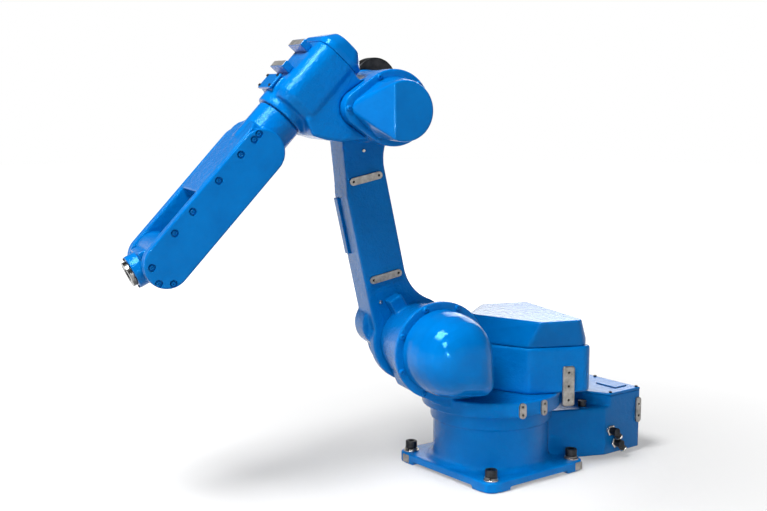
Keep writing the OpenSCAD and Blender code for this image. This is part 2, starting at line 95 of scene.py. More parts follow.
# the sky is white to just over the horizon, and higher up only on a narrow sheet behind the arm
SHEET_WAY, SHEET_RISE = (-0.66, -0.75, 0.0), 0.26
FILL_LEVEL, CEILING_LEVEL = 0.16, 0.05
world = bpy.data.worlds.new("studio")
scene.world = world
world.use_nodes = True
tree = world.node_tree
tree.nodes.clear()
coords = add_node(tree, "ShaderNodeTexCoord")
split = add_node(tree, "ShaderNodeSeparateXYZ")
tree.links.new(coords.outputs["Generated"], split.inputs[0])
behind = add_node(tree, "ShaderNodeVectorMath", operation="DOT_PRODUCT")
behind.inputs[1].default_value = SHEET_WAY
tree.links.new(coords.outputs["Generated"], behind.inputs[0])
sheet = add_node(tree, "ShaderNodeMapRange", {
    "From Min": 0.915, "From Max": 0.975, "To Min": 0.0, "To Max": SHEET_RISE})
tree.links.new(behind.outputs["Value"], sheet.inputs["Value"])
rise = add_node(tree, "ShaderNodeMath", operation="SUBTRACT")
tree.links.new(split.outputs["Z"], rise.inputs[0])
tree.links.new(sheet.outputs["Result"], rise.inputs[1])
ceiling = add_node(tree, "ShaderNodeMapRange", {
    "From Min": 0.08, "From Max": 0.20, "To Min": 1.0, "To Max": CEILING_LEVEL})
tree.links.new(rise.outputs[0], ceiling.inputs["Value"])
level = add_node(tree, "ShaderNodeMapRange", {"To Min": FILL_LEVEL})
tree.links.new(seen_directly(tree), level.inputs["Value"])
tree.links.new(ceiling.outputs["Result"], level.inputs["To Max"])
sky = add_node(tree, "ShaderNodeBackground", {"Color": WHITE})
tree.links.new(level.outputs["Result"], sky.inputs["Strength"])
out = add_node(tree, "ShaderNodeOutputWorld")
tree.links.new(sky.outputs[0], out.inputs["Surface"])

# the floor glows white away from the foot, and near it shows the shadow on its matt surface
FLOOR_R, FLOOR_DROP, FLOOR_GREY = 7.0, 0.0008, (0.45, 0.45, 0.45, 1)
floor_finish, tree = new_material("white_floor")
coords = add_node(tree, "ShaderNodeTexCoord")
reach = add_node(tree, "ShaderNodeVectorMath", operation="LENGTH")
tree.links.new(coords.outputs["Object"], reach.inputs[0])
glow = add_node(tree, "ShaderNodeMapRange", {
    "From Min": 0.25, "From Max": 1.3, "To Min": 0.32, "To Max": 1.0})
tree.links.new(reach.outputs["Value"], glow.inputs["Value"])
shown = add_node(tree, "ShaderNodeMath", operation="MULTIPLY")
tree.links.new(glow.outputs["Result"], shown.inputs[0])
tree.links.new(seen_directly(tree), shown.inputs[1])
white = add_node(tree, "ShaderNodeEmission", {"Color": WHITE})
tree.links.new(shown.outputs[0], white.inputs["Strength"])
matt = add_node(tree, "ShaderNodeBsdfDiffuse", {"Color": FLOOR_GREY})
both = add_node(tree, "ShaderNodeAddShader")
tree.links.new(white.outputs[0], both.inputs[0])
tree.links.new(matt.outputs[0], both.inputs[1])
out = add_node(tree, "ShaderNodeOutputMaterial")
tree.links.new(both.outputs[0], out.inputs["Surface"])

mesh = bpy.data.meshes.new("floor")
build = bmesh.new()
bmesh.ops.create_circle(build, cap_ends=True, segments=96, radius=FLOOR_R)
bmesh.ops.translate(build, verts=build.verts, vec=(0, 0, -FLOOR_DROP))
build.to_mesh(mesh)
build.free()
mesh.materials.append(floor_finish)
floor = bpy.data.objects.new("floor", mesh)
scene.collection.objects.link(floor)


def softbox(name, place, aim, width, height, power, spread=180):
    lamp = bpy.data.lights.new(name, "AREA")
    lamp.shape = "RECTANGLE"
    lamp.size, lamp.size_y, lamp.energy, lamp.spread = width, height, power, math.radians(spread)
    holder = bpy.data.objects.new(name, lamp)
    holder.location = place
    holder.rotation_euler = (Vector(aim) - Vector(place)).to_track_quat("-Z", "Y").to_euler()
    scene.collection.objects.link(holder)


softbox("overhead", (1.20, 0.22, 2.1), (0.15, 0.0, 0.25), 0.8, 0.8, 74)
softbox("over_camera", (1.05, 1.70, 0.45), (0.1, 0.0, 0.25), 0.05, 0.16, 5.0)
softbox("left_of_camera", (2.3, 0.30, 0.42), (0.1, 0.0, 0.25), 0.06, 0.28, 6.0)
softbox("behind", (-1.4, -1.2, 1.0), (0.1, -0.05, 0.25), 0.9, 0.9, 7)
softbox("foot_fill", (1.0, 1.0, 0.95), (0.08, 0.10, -0.03), 0.20, 0.20, 0.16, 18)

eye = bpy.data.cameras.new("camera")
eye.sensor_width, eye.lens = 36.0, 56.32
camera = bpy.data.objects.new("camera", eye)
camera.location = (1.114, 1.190, 0.523)
pitch = math.radians(-8.0)
heading = Vector((-0.6137 * math.cos(pitch), -0.7895 * math.cos(pitch), math.sin(pitch)))
camera.rotation_euler = heading.to_track_quat("-Z", "Y").to_euler()
scene.collection.objects.link(camera)
scene.camera = camera

# Castings. The foot, the swivel, the link, the elbow, the fork and the wrist are sand-cast aluminium:
# every edge is rounded by the mould, and thick glossy blue paint lies over a grainy skin.
DEEP_BLUE, MID_BLUE = (0.0, 0.132, 0.445, 1), (0.0, 0.158, 0.510, 1)
SHEEN_BLUE = (0.03, 0.50, 1.0, 1)


def blue_paint(name, grain_height, peel_height, roughness):
    material, tree = new_material(name)
    coords = add_node(tree, "ShaderNodeTexCoord")
    cloud = add_node(tree, "ShaderNodeTexNoise", {"Scale": 26.0, "Detail": 3.0, "Roughness": 0.6})
    sand = add_node(tree, "ShaderNodeTexNoise", {"Scale": 420.0, "Detail": 2.0, "Roughness": 0.55})
    peel = add_node(tree, "ShaderNodeTexNoise", {"Scale": 150.0, "Detail": 1.0, "Roughness": 0.4})
    for noise in (cloud, sand, peel):
        tree.links.new(coords.outputs["Object"], noise.inputs["Vector"])
    shade = add_node(tree, "ShaderNodeValToRGB")
    shade.color_ramp.elements[0].position, shade.color_ramp.elements[0].color = 0.30, DEEP_BLUE
    shade.color_ramp.elements[1].position, shade.color_ramp.elements[1].color = 0.72, MID_BLUE
    tree.links.new(cloud.outputs["Fac"], shade.inputs["Fac"])
    dull = add_node(tree, "ShaderNodeMapRange", {"To Min": roughness - 0.07, "To Max": roughness + 0.09})
    tree.links.new(sand.outputs["Fac"], dull.inputs["Value"])
    waves = add_node(tree, "ShaderNodeBump", {"Strength": 1.0, "Distance": peel_height})
    tree.links.new(peel.outputs["Fac"], waves.inputs["Height"])
    grains = add_node(tree, "ShaderNodeBump", {"Strength": 1.0, "Distance": grain_height})
    tree.links.new(sand.outputs["Fac"], grains.inputs["Height"])
    tree.links.new(waves.outputs["Normal"], grains.inputs["Normal"])
    paint = add_node(tree, "ShaderNodeBsdfPrincipled", {
        "Metallic": 0.0, "IOR": 1.42, "Specular Tint": SHEEN_BLUE,
        "Coat Weight": 0.02, "Coat Roughness": 0.08, "Coat IOR": 2.4})
    tree.links.new(shade.outputs["Color"], paint.inputs["Base Color"])
    tree.links.new(dull.outputs["Result"], paint.inputs["Roughness"])
    tree.links.new(grains.outputs["Normal"], paint.inputs["Normal"])
    tree.links.new(grains.outputs["Normal"], paint.inputs["Coat Normal"])
    out = add_node(tree, "ShaderNodeOutputMaterial")
    tree.links.new(paint.outputs[0], out.inputs["Surface"])
    return material


cast_paint = blue_paint("blue_paint_on_casting", 0.00050, 0.00055, 0.16)
KEPT_SHARE = 0.25


def soft_skin(node_name, grain, rounds, finish, lie, drill=None, weld=None):
    # the solid's own shape with its edges rounded: fine cells laid along its own axes, smoothed, then
    # thinned out, with any pockets drilled last
    mesh = nodes[node_name].data.copy()
    build = bmesh.new()
    build.from_mesh(mesh)
    bmesh.ops.remove_doubles(build, verts=build.verts, dist=1e-6)
    if weld:
        build.from_mesh(weld)
    build.transform(lie.inverted())
    build.to_mesh(mesh)
    build.free()
    blank = bpy.data.objects.new(node_name + "_blank", mesh)
    scene.collection.objects.link(blank)
    cells = blank.modifiers.new("cells", "REMESH")
    cells.mode, cells.voxel_size = "VOXEL", grain
    soften = blank.modifiers.new("soften", "SMOOTH")
    soften.factor, soften.iterations = 0.5, rounds
    thin = blank.modifiers.new("thin", "DECIMATE")
    thin.ratio = KEPT_SHARE
    if drill:
        bore = blank.modifiers.new("pockets", "BOOLEAN")
        bore.operation, bore.solver, bore.object, bore.use_self = "DIFFERENCE", "EXACT", drill, True
        drill.data.transform(lie.inverted())
    skin = bpy.data.meshes.new_from_object(blank.evaluated_get(bpy.context.evaluated_depsgraph_get()))
    bpy.data.objects.remove(blank)
    skin.transform(lie)
    skin.materials.clear()
    skin.materials.append(finish)
    skin.polygons.foreach_set("use_smooth", [True] * len(skin.polygons))
    if drill:
        skin.set_sharp_from_angle(angle=math.radians(45))
    piece = bpy.data.objects.new(node_name + "_skin", skin)
    scene.collection.objects.link(piece)
    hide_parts(node_name)
    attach(piece, nodes[node_name]["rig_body"])
    return piece


# where each moving casting lies at rest, from the column out to the tool
SWIVEL_REST, LINK_LEAN, FOREARM_PITCH, WRIST_BEND = -14.0, 12.2, 47.4, 21.4
LINK_LENGTH, WRIST_DISTANCE = 0.3225, 0.224
still = Matrix.Identity(4)
arm_turn = Matrix.Rotation(math.radians(SWIVEL_REST), 4, "Z")
at_shoulder = arm_turn @ Matrix.Translation((0.105, 0, 0.182))
in_link = at_shoulder @ Matrix.Rotation(math.radians(LINK_LEAN), 4, "Y")
at_elbow = (in_link @ Matrix.Translation((0, 0, LINK_LENGTH))
            @ Matrix.Rotation(math.radians(-LINK_LEAN), 4, "Y"))
in_forearm = (at_elbow @ Matrix.Rotation(math.radians(90 + FOREARM_PITCH), 4, "Y")
              @ Matrix.Translation((-0.0885, 0, 0.0977)))
in_tool = (in_forearm @ Matrix.Translation((0, 0, WRIST_DISTANCE))
           @ Matrix.Rotation(math.radians(-WRIST_BEND), 4, "Y"))
nodes = frame["nodes"]

# the fillet between the column and the foot plate, welded to the foot before its edges are rounded
COLUMN_R, PLATE_TOP, FILLET, SINK = 0.080, 0.014, 0.009, 0.003
FILLET_STEPS, ROUND_STEPS = 8, 120
profile = [(COLUMN_R - SINK, PLATE_TOP - SINK), (COLUMN_R + FILLET, PLATE_TOP - SINK)]
for i in range(FILLET_STEPS + 1):
    turn = math.radians(270 - 90 * i / FILLET_STEPS)
    profile.append((COLUMN_R + FILLET + FILLET * math.cos(turn),
                    PLATE_TOP + FILLET + FILLET * math.sin(turn)))
profile.append((COLUMN_R - SINK, PLATE_TOP + FILLET))
build = bmesh.new()
loops = []
for i in range(ROUND_STEPS):
    turn = 2 * math.pi * i / ROUND_STEPS
    loops.append([build.verts.new((r * math.cos(turn), r * math.sin(turn), z)) for r, z in profile])
for i, low in enumerate(loops):
    high = loops[(i + 1) % ROUND_STEPS]
    for j in range(len(profile)):
        k = (j + 1) % len(profile)
        build.faces.new((low[j], low[k], high[k], high[j]))
bmesh.ops.recalc_face_normals(build, faces=build.faces)
fillet = bpy.data.meshes.new("column_fillet")
build.to_mesh(fillet)
build.free()
soft_skin("base_casting", 0.0015, 8, cast_paint, still, weld=fillet)
for node_name, grain, rounds, lie in (
        ("swivel_casting", 0.0014, 14, arm_turn), ("motor_housing", 0.0014, 30, arm_turn),
        ("shoulder_rim", 0.0011, 8, at_shoulder), ("lower_arm", 0.0014, 16, in_link),
        ("elbow_casting", 0.0013, 12, in_forearm),
        ("elbow_drive_rim", 0.0011, 10, at_elbow), ("forearm_fork", 0.0012, 10, in_forearm),
        ("wrist_barrel", 0.0009, 6, in_tool)):
    soft_skin(node_name, grain, rounds, cast_paint, lie)

# Covers and lids. Thin pressure-cast covers under the same paint, with a smoother skin; each is
# screwed to its casting, and its rounded edge leaves a narrow groove at the seam.
cover_paint = blue_paint("blue_paint_on_cover", 0.00012, 0.00030, 0.13)
for node_name, grain, rounds, lie in (
        ("connector_box_lid", 0.0012, 5, still), ("motor_housing_lid", 0.0013, 12, arm_turn),
        ("shoulder_cover", 0.0012, 24, at_shoulder), ("arm_front_strip", 0.0007, 4, in_link),
        ("elbow_rear_lid", 0.0010, 12, in_forearm), ("elbow_drive_cover", 0.0010, 20, at_elbow),
        ("elbow_hatch", 0.0007, 4, in_forearm)):
    soft_skin(node_name, grain, rounds, cover_paint, lie)

# Bare steel. The tapped pads are milled flat bar, left unpainted; the tool flange is turned and
# ground, darker and smoother than the pads. All are screwed on from behind.
EVEN, UPRIGHT = (1, 1, 1), (1, 1, 0.15)


def milled_steel(name, dark, light, roughness, rounding, lines):
    material, tree = new_material(name)
    coords = add_node(tree, "ShaderNodeTexCoord")
    lay = add_node(tree, "ShaderNodeMapping", {"Scale": lines})
    tree.links.new(coords.outputs["Object"], lay.inputs["Vector"])
    strokes = add_node(tree, "ShaderNodeTexNoise", {"Scale": 900.0, "Detail": 2.0, "Roughness": 0.6})
    tree.links.new(lay.outputs["Vector"], strokes.inputs["Vector"])
    stain = add_node(tree, "ShaderNodeTexNoise", {"Scale": 110.0, "Detail": 4.0, "Roughness": 0.65})
    tree.links.new(coords.outputs["Object"], stain.inputs["Vector"])
    shade = add_node(tree, "ShaderNodeValToRGB")
    shade.color_ramp.elements[0].position, shade.color_ramp.elements[0].color = 0.28, dark
    shade.color_ramp.elements[1].position, shade.color_ramp.elements[1].color = 0.70, light
    tree.links.new(stain.outputs["Fac"], shade.inputs["Fac"])
    dull = add_node(tree, "ShaderNodeMapRange", {"To Min": roughness - 0.10, "To Max": roughness + 0.12})
    tree.links.new(strokes.outputs["Fac"], dull.inputs["Value"])
    edge = add_node(tree, "ShaderNodeBevel", {"Radius": rounding}, samples=6)
    scratch = add_node(tree, "ShaderNodeBump", {"Strength": 0.6, "Distance": 0.0001})
    tree.links.new(strokes.outputs["Fac"], scratch.inputs["Height"])
    tree.links.new(edge.outputs["Normal"], scratch.inputs["Normal"])
    steel = add_node(tree, "ShaderNodeBsdfPrincipled", {"Metallic": 1.0})
    tree.links.new(shade.outputs["Color"], steel.inputs["Base Color"])
    tree.links.new(dull.outputs["Result"], steel.inputs["Roughness"])
    tree.links.new(scratch.outputs["Normal"], steel.inputs["Normal"])
    out = add_node(tree, "ShaderNodeOutputMaterial")
    tree.links.new(steel.outputs[0], out.inputs["Surface"])
    return material


def dress(node_name, finish):
    nodes[node_name].data.materials.clear()
    nodes[node_name].data.materials.append(finish)


pad_steel = milled_steel(
    "milled_pad_steel", (0.18, 0.172, 0.16, 1), (0.42, 0.40, 0.375, 1), 0.42, 0.0006, UPRIGHT)
for node_name in ("rear_side_pad", "swivel_pad_front", "swivel_pad_rear", "arm_pad_upper", "arm_pad_lower"):
    dress(node_name, pad_steel)
flange_steel = milled_steel(
    "turned_flange_steel", (0.06, 0.06, 0.06, 1), (0.24, 0.24, 0.235, 1), 0.24, 0.0005, EVEN)
dress("tool_flange", flange_steel)

# Dark metal. The stop on the deck and the bodies of the two angled push-in fittings are blackened steel.
# The cap over the top of the link gets the same black, partly as painted shade: it stands for a dark part
# and for the deep shade that lies on it behind the elbow. The nickel plating is for the collars and washers
# further on.
# this black finish is real blackened steel on the stop, bolts and screws, and painted shade on the hole
# cups, the blanking seam and the link's top cap
black_steel_and_shade = milled_steel(
    "black_steel_and_painted_shade", (0.012, 0.013, 0.015, 1), (0.055, 0.057, 0.062, 1), 0.45, 0.0008, EVEN)
dress("deck_stop", black_steel_and_shade)
# painted shade in part: the link's top cap is dressed black for the deep shade behind the elbow
soft_skin("arm_top_cap", 0.0010, 14, black_steel_and_shade, in_link)
nickel = milled_steel(
    "nickel_plated_brass", (0.36, 0.35, 0.32, 1), (0.72, 0.70, 0.66, 1), 0.22, 0.0008, EVEN)
for node_name in ("air_fitting_upper", "air_fitting_lower"):
    dress(node_name, black_steel_and_shade)

# Anchor bolts. Black M10 socket-head screws with a split spring washer and a plated flat washer hold
# the foot plate down at its four corners.
SIDES = 48


def rings_to_mesh(name, rings):
    # a closed skin through rings of the same number of points, ends filled
    build = bmesh.new()
    loops = [[build.verts.new(point) for point in ring] for ring in rings]
    for low, high in zip(loops, loops[1:]):
        for i in range(len(low)):
            j = (i + 1) % len(low)
            build.faces.new((low[i], low[j], high[j], high[i]))
    build.faces.new(list(reversed(loops[0])))
    build.faces.new(loops[-1])
    bmesh.ops.recalc_face_normals(build, faces=build.faces)
    mesh = bpy.data.meshes.new(name)
    build.to_mesh(mesh)
    build.free()
    return mesh


def circle_ring(radius, height):
    return [(radius * math.cos(2 * math.pi * i / SIDES), radius * math.sin(2 * math.pi * i / SIDES), height)
            for i in range(SIDES)]


def hex_ring(half_flats, height):
    ring = []
    for i in range(SIDES):
        turn = 2 * math.pi * i / SIDES
        reach = half_flats / math.cos((turn + math.pi / 6) % (math.pi / 3) - math.pi / 6)
        ring.append((reach * math.cos(turn), reach * math.sin(turn), height))
    return ring


def socket_head(name, radius, height, half_flats, depth, chamfer):
    lead_in = 0.0004
    return rings_to_mesh(name, [
        circle_ring(radius - chamfer / 2, 0), circle_ring(radius, chamfer / 2),
        circle_ring(radius, height - chamfer),
        circle_ring(radius - chamfer * 0.3, height - chamfer * 0.3), circle_ring(radius - chamfer, height),
        hex_ring(half_flats + lead_in, height), hex_ring(half_flats, height - lead_in),
        hex_ring(half_flats, height - depth)])


def place_tree():
    # heads on points: each stands along the point's axis, turned about it by a seeded random angle
    tree = bpy.data.node_groups.new("set_heads", "GeometryNodeTree")
    tree.interface.new_socket("Spots", in_out="INPUT", socket_type="NodeSocketGeometry")
    tree.interface.new_socket("Head", in_out="INPUT", socket_type="NodeSocketObject")
    tree.interface.new_socket("Size", in_out="INPUT", socket_type="NodeSocketFloat")
    tree.interface.new_socket("Seed", in_out="INPUT", socket_type="NodeSocketInt")
    tree.interface.new_socket("Finish", in_out="INPUT", socket_type="NodeSocketMaterial")
    tree.interface.new_socket("Heads", in_out="OUTPUT", socket_type="NodeSocketGeometry")
    given, result = tree.nodes.new("NodeGroupInput"), tree.nodes.new("NodeGroupOutput")
    axis = add_node(tree, "GeometryNodeInputNamedAttribute", {"Name": "axis"}, data_type="FLOAT_VECTOR")
    stand = add_node(tree, "FunctionNodeAlignRotationToVector", axis="Z")
    tree.links.new(axis.outputs["Attribute"], stand.inputs["Vector"])
    spin = add_node(tree, "FunctionNodeRandomValue", data_type="FLOAT")
    turn_inputs = [socket for socket in spin.inputs if socket.type == "VALUE"]
    turn_inputs[0].default_value, turn_inputs[1].default_value = 0.0, 2 * math.pi
    tree.links.new(given.outputs["Seed"], spin.inputs["Seed"])
    angle = next(socket for socket in spin.outputs if socket.type == "VALUE")
    about = add_node(tree, "FunctionNodeAxisAngleToRotation", {"Axis": (0, 0, 1)})
    tree.links.new(angle, about.inputs["Angle"])
    turned = add_node(tree, "FunctionNodeRotateRotation", rotation_space="LOCAL")
    tree.links.new(stand.outputs["Rotation"], turned.inputs["Rotation"])
    tree.links.new(about.outputs["Rotation"], turned.inputs["Rotate By"])
    head = add_node(tree, "GeometryNodeObjectInfo")
    tree.links.new(given.outputs["Head"], head.inputs["Object"])
    put = add_node(tree, "GeometryNodeInstanceOnPoints")
    tree.links.new(given.outputs["Spots"], put.inputs["Points"])
    tree.links.new(head.outputs["Geometry"], put.inputs["Instance"])
    tree.links.new(turned.outputs["Rotation"], put.inputs["Rotation"])
    tree.links.new(given.outputs["Size"], put.inputs["Scale"])
    real = add_node(tree, "GeometryNodeRealizeInstances")
    tree.links.new(put.outputs["Instances"], real.inputs["Geometry"])
    coat = add_node(tree, "GeometryNodeSetMaterial")
    tree.links.new(real.outputs["Geometry"], coat.inputs["Geometry"])
    tree.links.new(given.outputs["Finish"], coat.inputs["Material"])
    tree.links.new(coat.outputs["Geometry"], result.inputs["Heads"])
    return tree


set_heads = place_tree()
SEED, SHARP_EDGE = 7, math.radians(40)


def set_fasteners(name, head_mesh, spots, body, finish, size=1.0):
    # one mesh of like fasteners for one body; spots are (place, axis) in metres
    head = bpy.data.objects.new(name + "_head", head_mesh)
    scene.collection.objects.link(head)
    mesh = bpy.data.meshes.new(name + "_spots")
    mesh.from_pydata([tuple(place) for place, axis in spots], [], [])
    mesh.attributes.new("axis", "FLOAT_VECTOR", "POINT").data.foreach_set(
        "vector", [value for place, axis in spots for value in axis])
    holder = bpy.data.objects.new(name + "_holder", mesh)
    scene.collection.objects.link(holder)
    step = holder.modifiers.new("set_heads", "NODES")
    step.node_group = set_heads
    keys = {item.name: item.identifier for item in set_heads.interface.items_tree if item.in_out == "INPUT"}
    for socket_name, value in (("Head", head), ("Size", size), ("Seed", SEED), ("Finish", finish)):
        step[keys[socket_name]] = value
    made = bpy.data.meshes.new_from_object(holder.evaluated_get(bpy.context.evaluated_depsgraph_get()))
    bpy.data.objects.remove(holder)
    bpy.data.objects.remove(head)
    made.polygons.foreach_set("use_smooth", [True] * len(made.polygons))
    made.set_sharp_from_angle(angle=SHARP_EDGE)
    piece = bpy.data.objects.new(name, made)
    scene.collection.objects.link(piece)
    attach(piece, body)


UP = (0, 0, 1)
FOOT_TOP, FLAT_WASHER, SPRING_WASHER = 0.014, 0.0020, 0.0026
corners = [(x * 0.075, y * 0.0825) for x in (-1, 1) for y in (-1, 1)]
washer = rings_to_mesh("flat_washer", [
    circle_ring(0.0103, 0), circle_ring(0.0106, 0.0003), circle_ring(0.0106, 0.0016),
    circle_ring(0.0102, FLAT_WASHER)])
set_fasteners("anchor_flat_washers", washer, [((x, y, FOOT_TOP), UP) for x, y in corners],
              "base", nickel)

COIL_STEPS, COIL_LIFT = 40, 0.0010
SPRING_IN, SPRING_OUT, SPRING_THICK = 0.0062, 0.0088, 0.0017
build = bmesh.new()
loops = []
for i in range(COIL_STEPS + 1):
    turn = math.radians(8 + 344 * i / COIL_STEPS)
    lift = COIL_LIFT * i / COIL_STEPS
    loops.append([build.verts.new((r * math.cos(turn), r * math.sin(turn), z + lift)) for r, z in (
        (SPRING_IN, 0), (SPRING_OUT, 0), (SPRING_OUT, SPRING_THICK), (SPRING_IN, SPRING_THICK))])
for a, b in zip(loops, loops[1:]):
    for i in range(4):
        build.faces.new((a[i], a[(i + 1) % 4], b[(i + 1) % 4], b[i]))
build.faces.new(loops[0])
build.faces.new(list(reversed(loops[-1])))
bmesh.ops.recalc_face_normals(build, faces=build.faces)
spring = bpy.data.meshes.new("spring_washer")
build.to_mesh(spring)
build.free()
set_fasteners("anchor_spring_washers", spring, [((x, y, FOOT_TOP + FLAT_WASHER), UP) for x, y in corners],
              "base", pad_steel)
bolt = socket_head("anchor_bolt", 0.0080, 0.0100, 0.0040, 0.0052, 0.0009)
HEAD_SEAT = FOOT_TOP + FLAT_WASHER + SPRING_WASHER
set_fasteners("anchor_bolts", bolt, [((x, y, HEAD_SEAT), UP) for x, y in corners],
              "base", black_steel_and_shade)

# Rim screws. Low button-head screws, painted over with the castings, hold the shoulder rim and the
# elbow drive rim around their covers.
SHOULDER_RIM_FACE, SHOULDER_RING_R = 54.0, 60.3
ELBOW_RIM_FACE, ELBOW_RING_R = 59.0, 43.5
TO_CAMERA_SIDE = (0, 1, 0)


def button_head(name, radius, height, half_flats):
    return rings_to_mesh(name, [
        circle_ring(radius, -0.0004), circle_ring(radius, height * 0.22),
        circle_ring(radius * 0.93, height * 0.50), circle_ring(radius * 0.78, height * 0.78),
        circle_ring(radius * 0.60, height * 0.95), circle_ring(half_flats * 1.35, height),
        hex_ring(half_flats, height * 0.96), hex_ring(half_flats * 0.94, height * 0.45)])


def spots_on(frame_at, axis, places):
    # places in a piece's own frame, in millimetres, as (place, axis) pairs of the part's frame
    turn = frame_at.to_3x3()
    return [(frame_at @ (Vector(place) / 1000.0), turn @ Vector(axis)) for place in places]


def ring_on_face(radius, face, angles):
    return [(radius * math.cos(math.radians(a)), face, radius * math.sin(math.radians(a))) for a in angles]


button = button_head("rim_screw", 0.0040, 0.0026, 0.0014)
ring = ring_on_face(SHOULDER_RING_R, SHOULDER_RIM_FACE, (-67, -22, 23, 68, 113, 158))
ring.append((-56.9, SHOULDER_RIM_FACE, -58.0))
set_fasteners("shoulder_rim_screws", button, spots_on(at_shoulder, TO_CAMERA_SIDE, ring),
              "swivel", cast_paint)
ring = ring_on_face(ELBOW_RING_R, ELBOW_RIM_FACE, (61, 137, 180, -135, -61))
ring.append((62.0, ELBOW_RIM_FACE, 0.0))
set_fasteners("elbow_rim_screws", button, spots_on(at_elbow, TO_CAMERA_SIDE, ring),
              "elbow", cast_paint, size=0.9)

# Forearm covers. Two long cast covers close the belt drives in the forearm; each has a row of round
# pockets along its upper edge and round the wrist end, with a painted button screw in each.
POCKET_R, POCKET_DEPTH, COVER_FACE = 4.9, 3.4, 47.0
along = [(-18.6, 41.5), (-18.6, 50.5), (-19.2, 75), (-19.2, 116), (-19.0, 164), (-18.6, 197),
         (-12.7, 245), (6.2, 254), (20.0, 243)]


def drill_for(name, frame_at, places, axis, radius, depth):
    # round cutters that reach depth below the places, all in one mesh
    build = bmesh.new()
    for place, way in spots_on(frame_at, axis, places):
        lay = Matrix.Translation(place) @ way.to_track_quat("Z", "Y").to_matrix().to_4x4()
        bmesh.ops.create_cone(build, cap_ends=True, segments=32, radius1=radius / 1000,
                              radius2=radius / 1000, depth=2 * depth / 1000, matrix=lay)
    mesh = bpy.data.meshes.new(name)
    build.to_mesh(mesh)
    build.free()
    drill = bpy.data.objects.new(name, mesh)
    scene.collection.objects.link(drill)
    return drill


cover_screw = button_head("cover_screw", 0.0036, 0.0026, 0.0014)
for side_name, side in (("left", 1), ("right", -1)):
    outward = (0, side, 0)
    mouths = [(n, side * COVER_FACE, s) for n, s in along]
    drill = drill_for("cover_drill", in_forearm, mouths, outward, POCKET_R, POCKET_DEPTH)
    soft_skin("forearm_cover_" + side_name, 0.0009, 20, cover_paint, in_forearm, drill)
    bpy.data.objects.remove(drill)
    seats = [(n, side * (COVER_FACE - POCKET_DEPTH), s) for n, s in along]
    set_fasteners("forearm_screws_" + side_name, cover_screw, spots_on(in_forearm, outward, seats),
                  "forearm", cover_paint)

# Elbow seats. Two cast blocks on top of the elbow carry options; their upper faces are milled after
# painting and left bare. Their bare steel is a lighter copy of the pads' steel, partly as painted highlight
# for the overhead light that falls on these upward faces.
# painted highlight in part: a lighter copy of the milled steel for faces that look up into the overhead
# light
seat_steel_and_highlight = milled_steel(
    "milled_seat_steel_with_painted_highlight", (0.50, 0.49, 0.47, 1), (0.82, 0.81, 0.79, 1), 0.46, 0.0004, EVEN)
OFF_ELBOW, MILLED_FACE = (-1, 0, 0), 0.95
for node_name in ("elbow_seat_front", "elbow_seat_rear"):
    seat = soft_skin(node_name, 0.0007, 5, cast_paint, in_forearm)
    seat.data.materials.append(seat_steel_and_highlight)
    top = in_forearm.to_3x3() @ Vector(OFF_ELBOW)
    for face in seat.data.polygons:
        if face.normal.dot(top) > MILLED_FACE:
            face.material_index = 1

# Hatch screws. Four black steel socket screws, one at each corner, hold the cast hatch on top of the
# elbow.
hatch_screw = socket_head("hatch_screw", 0.0019, 0.0018, 0.0008, 0.0010, 0.0003)
corners = [(-39.0, y, s) for y in (-26.5, 12.5) for s in (-34.5, -18.5)]
set_fasteners("hatch_screws", hatch_screw, spots_on(in_forearm, OFF_ELBOW, corners),
              "elbow", black_steel_and_shade)

# Fitting collars. Each push-in fitting screws into the box wall with a plated hexagon and grips its
# hose in a plated release ring at the end of its leg.
hexagon = rings_to_mesh("fitting_hexagon", [
    hex_ring(0.0066, 0), hex_ring(0.0070, 0.0004), hex_ring(0.0070, 0.0036),
    circle_ring(0.0064, 0.0042), circle_ring(0.0050, 0.0044)])
release = rings_to_mesh("release_ring", [
    circle_ring(0.0048, 0), circle_ring(0.0053, 0.0004), circle_ring(0.0053, 0.0026),
    circle_ring(0.0049, 0.0031), circle_ring(0.0034, 0.0031), circle_ring(0.0033, 0.0006)])
feet = [(-153.0, 83.0, 41.0), (-163.0, 83.0, 22.0)]
set_fasteners("fitting_hexagons", hexagon, spots_on(still, TO_CAMERA_SIDE, feet),
              "base", nickel)
LEG, LEG_OFF_WALL = 12.0 * math.sqrt(0.5), 9.0
ends = [(x - LEG, y + LEG_OFF_WALL, z - LEG) for x, y, z in feet]
set_fasteners("fitting_release_rings", release, spots_on(still, (-1, 0, -1), ends),
              "base", nickel)

# Tapped holes. The bare pads and the long plate are drilled and tapped for brackets. A small black cup at
# the foot of each hole is painted shade, standing for the dark depth of the thread.
# painted shade: black cups darken the foot of each tapped hole
hole_shade = rings_to_mesh("painted_hole_shade", [
    circle_ring(0.0016, 0), circle_ring(0.0016, 0.0006), circle_ring(0.0012, 0.0003)])
holes = [(-211.0, 83.0, 61.5 + dz) for dz in (-8.5, 8.5)]
set_fasteners("rear_pad_threads", hole_shade, spots_on(still, TO_CAMERA_SIDE, holes),
              "base", black_steel_and_shade)
holes = []
for azimuth in (86.0, 106.5):
    around = arm_turn @ Matrix.Rotation(math.radians(azimuth), 4, "Z")
    holes += spots_on(around, (1, 0, 0), [(97.0, 0, 101.8 + dz) for dz in (-5.5, 5.5)])
on_wall = (arm_turn @ Matrix.Translation((-0.10266, 0.07482, 0.0950))
           @ Matrix.Rotation(math.radians(-12.18), 4, "Z") @ Matrix.Translation((0.026, 0.009, 0)))
plate_holes = [8.5 + 19.0 * i for i in range(3)]
holes += spots_on(on_wall, TO_CAMERA_SIDE, [(0, 0, z) for z in plate_holes])
set_fasteners("swivel_pad_threads", hole_shade, holes, "swivel", black_steel_and_shade)
LINK_FACE = -30.0
